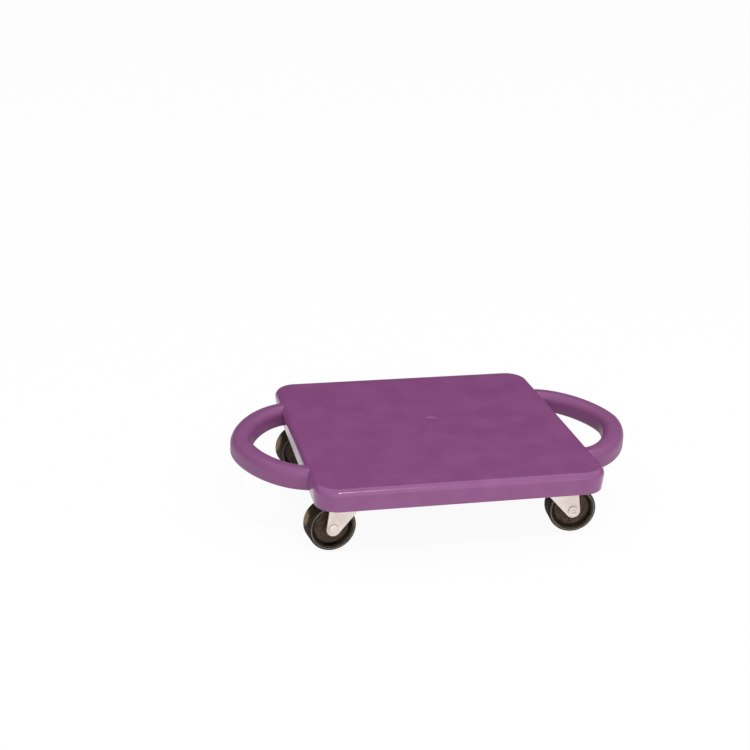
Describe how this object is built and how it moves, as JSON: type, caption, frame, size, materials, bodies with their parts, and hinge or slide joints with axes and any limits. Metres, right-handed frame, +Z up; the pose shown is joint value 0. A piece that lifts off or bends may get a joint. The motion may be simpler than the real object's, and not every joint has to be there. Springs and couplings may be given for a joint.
{
  "type": "scooter board",
  "caption": "Square moulded plastic gym scooter board with an open grip loop on each side, on swivel casters screwed under its corners.",
  "frame": {"origin": "on the floor under the middle of the deck", "axes": "+X along the two grip loops, towards the right grip; +Y towards the back edge; +Z up"},
  "size_m": [0.4382, 0.3048, 0.0846],
  "materials": {
    "deck_plastic": "semi-gloss injection moulded polyolefin, purple right through",
    "zinc_steel": "bright zinc plating on pressed and headed steel",
    "ball_steel": "ground and oiled steel",
    "wheel_plastic": "hard near-black moulded tread, satin"
  },
  "bodies": {
    "board": {"deck": "deck_plastic", "front_left_plate": "zinc_steel", "front_left_washer": "zinc_steel", "front_left_king_pin": "zinc_steel", "front_left_screw_1": "zinc_steel", "front_left_screw_2": "zinc_steel", "front_left_screw_3": "zinc_steel", "front_left_screw_4": "zinc_steel", "front_right_plate": "zinc_steel", "front_right_washer": "zinc_steel", "front_right_king_pin": "zinc_steel", "front_right_screw_1": "zinc_steel", "front_right_screw_2": "zinc_steel", "front_right_screw_3": "zinc_steel", "front_right_screw_4": "zinc_steel", "back_left_plate": "zinc_steel", "back_left_washer": "zinc_steel", "back_left_king_pin": "zinc_steel", "back_left_screw_1": "zinc_steel", "back_left_screw_2": "zinc_steel", "back_left_screw_3": "zinc_steel", "back_left_screw_4": "zinc_steel", "back_right_plate": "zinc_steel", "back_right_washer": "zinc_steel", "back_right_king_pin": "zinc_steel", "back_right_screw_1": "zinc_steel", "back_right_screw_2": "zinc_steel", "back_right_screw_3": "zinc_steel", "back_right_screw_4": "zinc_steel"},
    "front_left_race": {"front_left_balls": "ball_steel"},
    "front_left_swivel": {"front_left_fork": "zinc_steel", "front_left_sleeve": "ball_steel", "front_left_axle": "zinc_steel"},
    "front_left_roller": {"front_left_wheel": "wheel_plastic"},
    "front_right_race": {"front_right_balls": "ball_steel"},
    "front_right_swivel": {"front_right_fork": "zinc_steel", "front_right_sleeve": "ball_steel", "front_right_axle": "zinc_steel"},
    "front_right_roller": {"front_right_wheel": "wheel_plastic"},
    "back_left_race": {"back_left_balls": "ball_steel"},
    "back_left_swivel": {"back_left_fork": "zinc_steel", "back_left_sleeve": "ball_steel", "back_left_axle": "zinc_steel"},
    "back_left_roller": {"back_left_wheel": "wheel_plastic"},
    "back_right_race": {"back_right_balls": "ball_steel"},
    "back_right_swivel": {"back_right_fork": "zinc_steel", "back_right_sleeve": "ball_steel", "back_right_axle": "zinc_steel"},
    "back_right_roller": {"back_right_wheel": "wheel_plastic"}
  },
  "joints": [
    {"name": "front_left_turn", "type": "hinge", "parent": "board", "child": "front_left_swivel", "pos_m": [-0.11, -0.0985, 0.0576], "axis": [0, 0, 1], "continuous": true},
    {"name": "front_left_roll", "type": "hinge", "parent": "front_left_swivel", "child": "front_left_roller", "pos_m": [-0.12979, -0.10139, 0.0254], "axis": [0.1444, -0.9895, 0], "continuous": true},
    {"name": "front_left_race_turn", "type": "hinge", "parent": "board", "child": "front_left_race", "pos_m": [-0.11, -0.0985, 0.0576], "axis": [0, 0, 1], "continuous": true},
    {"name": "front_right_turn", "type": "hinge", "parent": "board", "child": "front_right_swivel", "pos_m": [0.11, -0.0985, 0.0576], "axis": [0, 0, 1], "continuous": true},
    {"name": "front_right_roll", "type": "hinge", "parent": "front_right_swivel", "child": "front_right_roller", "pos_m": [0.12992, -0.10024, 0.0254], "axis": [0.0872, 0.9962, 0], "continuous": true},
    {"name": "front_right_race_turn", "type": "hinge", "parent": "board", "child": "front_right_race", "pos_m": [0.11, -0.0985, 0.0576], "axis": [0, 0, 1], "continuous": true},
    {"name": "back_left_turn", "type": "hinge", "parent": "board", "child": "back_left_swivel", "pos_m": [-0.11, 0.0985, 0.0576], "axis": [0, 0, 1], "continuous": true},
    {"name": "back_left_roll", "type": "hinge", "parent": "back_left_swivel", "child": "back_left_roller", "pos_m": [-0.1297, 0.09503, 0.0254], "axis": [0.1736, -0.9848, 0], "continuous": true},
    {"name": "back_left_race_turn", "type": "hinge", "parent": "board", "child": "back_left_race", "pos_m": [-0.11, 0.0985, 0.0576], "axis": [0, 0, 1], "continuous": true},
    {"name": "back_right_turn", "type": "hinge", "parent": "board", "child": "back_right_swivel", "pos_m": [0.11, 0.0985, 0.0576], "axis": [0, 0, 1], "continuous": true},
    {"name": "back_right_roll", "type": "hinge", "parent": "back_right_swivel", "child": "back_right_roller", "pos_m": [0.12956, 0.10266, 0.0254], "axis": [-0.2079, 0.9781, 0], "continuous": true},
    {"name": "back_right_race_turn", "type": "hinge", "parent": "board", "child": "back_right_race", "pos_m": [0.11, 0.0985, 0.0576], "axis": [0, 0, 1], "continuous": true}
  ],
  "couplings": [
    {"joint": "front_left_race_turn", "follows": "front_left_turn", "ratio": 0.5},
    {"joint": "front_right_race_turn", "follows": "front_right_turn", "ratio": 0.5},
    {"joint": "back_left_race_turn", "follows": "back_left_turn", "ratio": 0.5},
    {"joint": "back_right_race_turn", "follows": "back_right_turn", "ratio": 0.5}
  ]
}
